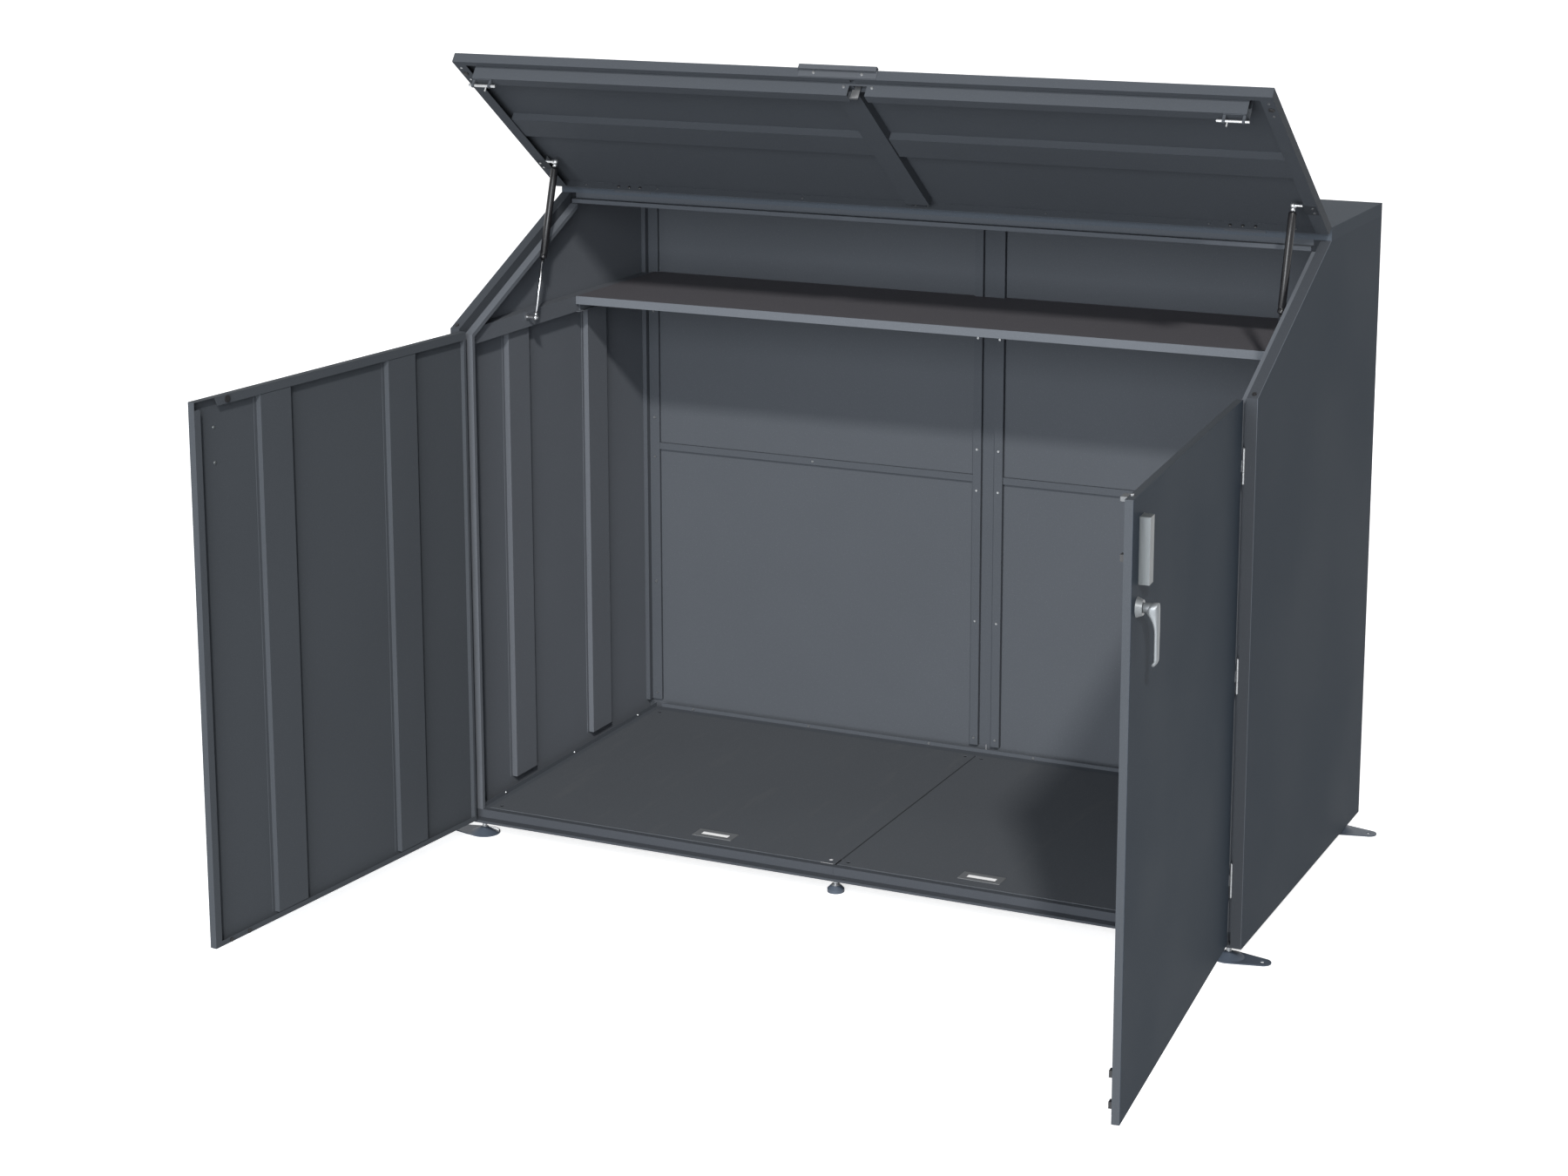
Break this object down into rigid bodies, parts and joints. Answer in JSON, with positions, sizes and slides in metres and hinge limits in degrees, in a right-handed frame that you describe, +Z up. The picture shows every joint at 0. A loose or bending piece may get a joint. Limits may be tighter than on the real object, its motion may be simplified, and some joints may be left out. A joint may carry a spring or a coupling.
{
  "type": "bike shed",
  "caption": "Steel bike shed with hinged double doors, a lid on gas struts, an inner shelf, lift-out floor panels and levelling feet.",
  "frame": {"origin": "centre of the four anchor holes of the corner feet, on the ground", "axes": "+X to the right seen from the doors' side, +Y towards the back panel, +Z up"},
  "size_m": [2.1639, 1.9763, 1.9459],
  "materials": {
    "panel": "fine textured anthracite powder coat",
    "frame": "fine textured anthracite powder coat",
    "lid": "fine textured anthracite powder coat",
    "shelf": "fine textured anthracite powder coat",
    "floor": "textured anthracite powder coat",
    "door": "fine textured anthracite powder coat",
    "handle": "satin",
    "zinc": "zinc plated",
    "chrome": "polished",
    "black": "matt",
    "strut": "satin black",
    "foot": "dark slate"
  },
  "bodies": {
    "cabinet": {"wall_right": "panel", "wall_left": "panel", "front_posts": "frame", "wall_ribs": "frame", "side_rails": "frame", "base_rails": "frame", "back_panel_right": "panel", "back_panel_left": "panel", "back_corner_posts": "frame", "back_centre_post": "frame", "back_mid_rails": "frame", "roof_cap": "lid", "header_beam": "frame", "front_sill": "frame", "floor_bearer": "frame", "base_plates": "frame", "shelf": "shelf", "strut_wall_studs": "zinc", "wall_buffers": "black", "cabinet_screws": "zinc", "fixed_hinge_leaves": "frame"},
    "lid": {"lid_panel": "lid", "lid_front_channel": "lid", "lid_ribs": "lid", "lid_handle": "handle", "lid_tongue": "zinc", "lid_buffers": "black", "lid_strut_studs": "zinc", "lid_hinge_leaves": "lid", "lid_screws": "zinc", "lid_bolt_housings": "zinc"},
    "door_right": {"door_panel_right": "door", "door_ribs_right": "door", "door_handle_right": "handle", "door_hinge_leaves_right": "door", "door_buffers_right": "black", "lock_rosette": "handle"},
    "door_left": {"door_panel_left": "door", "door_ribs_left": "door", "door_handle_left": "handle", "door_hinge_leaves_left": "door", "door_buffers_left": "black"},
    "lever": {"lever": "handle"},
    "lock_rod_top": {"lock_rod_top": "zinc"},
    "lock_rod_bottom": {"lock_rod_bottom": "zinc"},
    "floor_right": {"floor_panel_right": "floor", "lift_plate_right": "floor"},
    "lid_bolt_right": {"lid_bolt_right": "zinc"},
    "strut_rod_right": {"strut_rod_right": "chrome"},
    "strut_cylinder_right": {"strut_cylinder_right": "strut"},
    "foot_front_right": {"foot_front_right": "foot"},
    "foot_back_right": {"foot_back_right": "foot"},
    "floor_left": {"floor_panel_left": "floor", "lift_plate_left": "floor"},
    "lid_bolt_left": {"lid_bolt_left": "zinc"},
    "strut_rod_left": {"strut_rod_left": "chrome"},
    "strut_cylinder_left": {"strut_cylinder_left": "strut"},
    "foot_front_left": {"foot_front_left": "foot"},
    "foot_back_left": {"foot_back_left": "foot"},
    "foot_front_centre": {"foot_front_centre": "zinc"}
  },
  "joints": [
    {"name": "lid_hinge", "type": "hinge", "parent": "cabinet", "child": "lid", "pos_m": [0, 0.0477, 1.57032], "axis": [1, 0, 0], "range_deg": [0, 61.46]},
    {"name": "door_right_hinge", "type": "hinge", "parent": "cabinet", "child": "door_right", "pos_m": [0.97325, -0.5055, 0.64], "axis": [0, 0, 1], "range_deg": [-95, 0]},
    {"name": "door_left_hinge", "type": "hinge", "parent": "cabinet", "child": "door_left", "pos_m": [-0.97325, -0.5055, 0.64], "axis": [0, 0, 1], "range_deg": [0, 95]},
    {"name": "lever_turn", "type": "hinge", "parent": "door_right", "child": "lever", "pos_m": [1.04973, -1.42559, 1.062], "axis": [-0.9962, -0.0872, 0], "range_deg": [0, 90]},
    {"name": "lock_rod_top_slide", "type": "slide", "parent": "door_right", "child": "lock_rod_top", "axis": [0, 0, 1], "range_m": [0, 0.01273]},
    {"name": "lock_rod_bottom_slide", "type": "slide", "parent": "door_right", "child": "lock_rod_bottom", "axis": [0, 0, 1], "range_m": [-0.01273, 0]},
    {"name": "floor_right_lift", "type": "slide", "parent": "cabinet", "child": "floor_right", "axis": [0, 0, 1], "range_m": [0, 0.06]},
    {"name": "lid_bolt_right_slide", "type": "slide", "parent": "lid", "child": "lid_bolt_right", "axis": [1, 0, 0], "range_m": [0, 0.012]},
    {"name": "strut_right_pivot", "type": "hinge", "parent": "cabinet", "child": "strut_rod_right", "pos_m": [0.944, -0.1915, 1.261], "axis": [1, 0, 0], "range_deg": [-10.69, 0]},
    {"name": "strut_right_slide", "type": "slide", "parent": "strut_rod_right", "child": "strut_cylinder_right", "axis": [0, 0.2891, 0.9573], "range_m": [-0.13269, 0]},
    {"name": "foot_front_right_adjust", "type": "slide", "parent": "cabinet", "child": "foot_front_right", "axis": [0, 0, 1], "range_m": [-0.012, 0.008]},
    {"name": "foot_back_right_adjust", "type": "slide", "parent": "cabinet", "child": "foot_back_right", "axis": [0, 0, 1], "range_m": [-0.012, 0.008]},
    {"name": "floor_left_lift", "type": "slide", "parent": "cabinet", "child": "floor_left", "axis": [0, 0, 1], "range_m": [0, 0.06]},
    {"name": "lid_bolt_left_slide", "type": "slide", "parent": "lid", "child": "lid_bolt_left", "axis": [-1, 0, 0], "range_m": [0, 0.012]},
    {"name": "strut_left_pivot", "type": "hinge", "parent": "cabinet", "child": "strut_rod_left", "pos_m": [-0.944, -0.1915, 1.261], "axis": [1, 0, 0], "range_deg": [-10.69, 0]},
    {"name": "strut_left_slide", "type": "slide", "parent": "strut_rod_left", "child": "strut_cylinder_left", "axis": [0, 0.2891, 0.9573], "range_m": [-0.13269, 0]},
    {"name": "foot_front_left_adjust", "type": "slide", "parent": "cabinet", "child": "foot_front_left", "axis": [0, 0, 1], "range_m": [-0.012, 0.008]},
    {"name": "foot_back_left_adjust", "type": "slide", "parent": "cabinet", "child": "foot_back_left", "axis": [0, 0, 1], "range_m": [-0.012, 0.008]},
    {"name": "foot_front_centre_adjust", "type": "slide", "parent": "cabinet", "child": "foot_front_centre", "axis": [0, 0, 1], "range_m": [-0.012, 0.006]}
  ],
  "couplings": [
    {"joint": "lock_rod_top_slide", "follows": "lever_turn", "m_per_rad": 0.0081028},
    {"joint": "lock_rod_bottom_slide", "follows": "lever_turn", "m_per_rad": -0.0081028},
    {"joint": "strut_right_pivot", "follows": "lid_hinge", "ratio": -0.17397},
    {"joint": "strut_right_slide", "follows": "lid_hinge", "m_per_rad": -0.12369},
    {"joint": "strut_left_pivot", "follows": "lid_hinge", "ratio": -0.17397},
    {"joint": "strut_left_slide", "follows": "lid_hinge", "m_per_rad": -0.12369}
  ]
}
